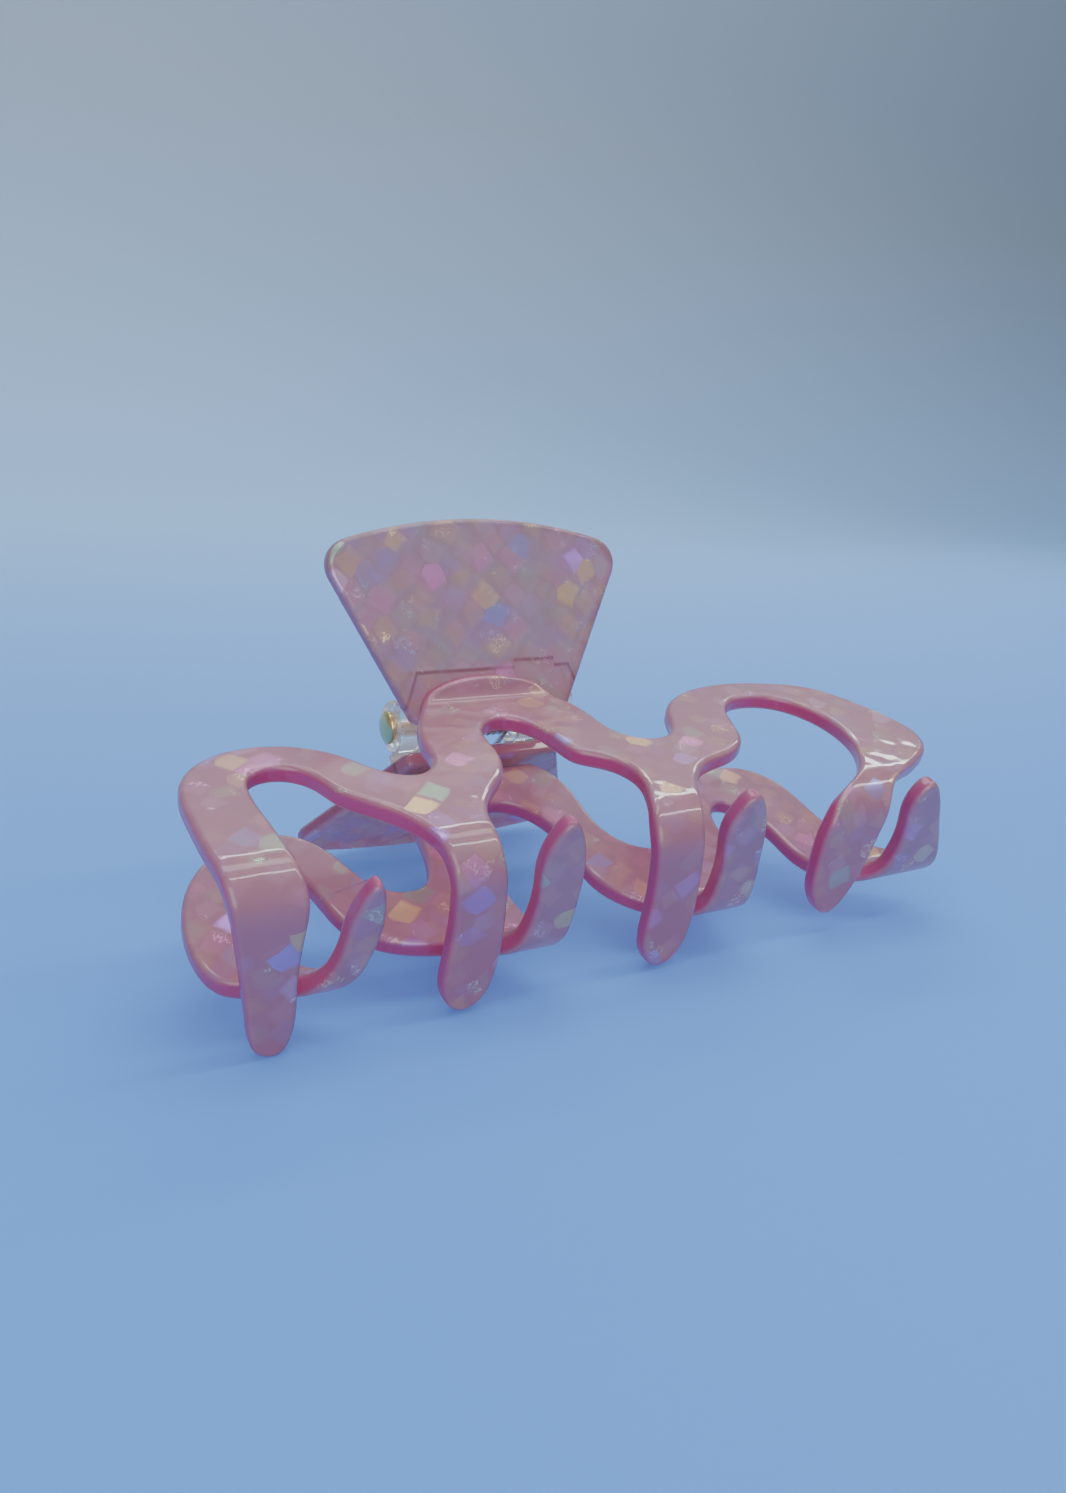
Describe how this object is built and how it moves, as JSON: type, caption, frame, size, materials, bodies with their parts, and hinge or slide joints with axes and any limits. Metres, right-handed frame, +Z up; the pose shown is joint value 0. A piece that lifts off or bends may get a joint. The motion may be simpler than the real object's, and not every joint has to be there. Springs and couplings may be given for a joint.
{
  "type": "claw clip",
  "caption": "Hair claw clip with two bent wavy jaws whose teeth interleave, two fan-shaped squeeze handles and a sprung pin hinge.",
  "frame": {"origin": "centre of the base rectangle on the table, with the clip lying on its rear jaw", "axes": "+X along the hinge pin, +Y from the teeth towards the handles, +Z up"},
  "size_m": [0.1048, 0.0606, 0.0514],
  "materials": {
    "front_acetate": "polished cellulose acetate, milky mauve with a scatter of iridescent flakes and magenta cut edges",
    "rear_acetate": "polished cellulose acetate, milky pink with a scatter of iridescent flakes and magenta cut edges",
    "front_handle_acetate": "polished cellulose acetate, milky mauve with a grid of iridescent flakes",
    "rear_handle_acetate": "polished cellulose acetate, milky pink with a grid of iridescent flakes",
    "clear_plastic": "clear moulded polycarbonate, smooth",
    "gold_metal": "gold-coloured plated rivet, polished",
    "spring_steel": "bright drawn spring wire"
  },
  "bodies": {
    "rear_half": {"rear_jaw": "rear_acetate", "rear_handle": "rear_handle_acetate", "rear_hinge_leaf": "clear_plastic", "hinge_pin": "gold_metal", "hinge_spring": "spring_steel"},
    "front_half": {"front_jaw": "front_acetate", "front_handle": "front_handle_acetate", "front_hinge_leaf": "clear_plastic"}
  },
  "joints": [
    {"name": "jaw_opening", "type": "hinge", "parent": "rear_half", "child": "front_half", "pos_m": [-0.00473, 0.01362, 0.02333], "axis": [-1, 0, 0], "range_deg": [0, 100], "stiffness_Nm_per_rad": 0.06, "springref_deg": -28.65, "deforming": ["hinge_spring"]}
  ]
}
